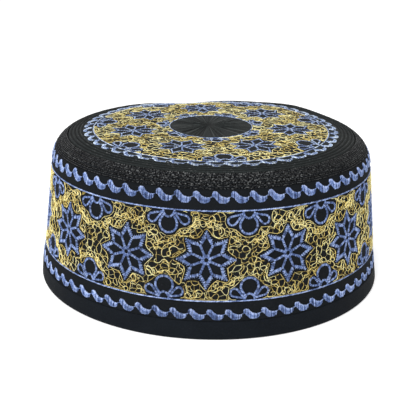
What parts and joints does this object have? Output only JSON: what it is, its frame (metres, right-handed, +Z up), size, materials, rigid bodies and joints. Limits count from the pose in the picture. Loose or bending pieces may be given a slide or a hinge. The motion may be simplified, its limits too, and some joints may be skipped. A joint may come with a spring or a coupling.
{
  "type": "prayer cap",
  "caption": "Round, flat-topped prayer cap of black quilted cloth with embroidered side and crown, open below for the head.",
  "frame": {"origin": "centre of the rim's underside, where the cap stands on a table", "axes": "+Z up through the middle of the crown, -Y the front as in the picture, +X to its right"},
  "size_m": [0.1915, 0.1914, 0.083],
  "materials": {
    "crown_cloth": "matt black cotton, rows of stitching",
    "wall_cloth": "matt black cotton, quilted, with blue and gold thread embroidery",
    "hem_cloth": "smooth black cotton binding"
  },
  "bodies": {
    "root": {"crown_top": "crown_cloth", "side_wall": "wall_cloth", "rim_hem": "hem_cloth"}
  },
  "joints": []
}
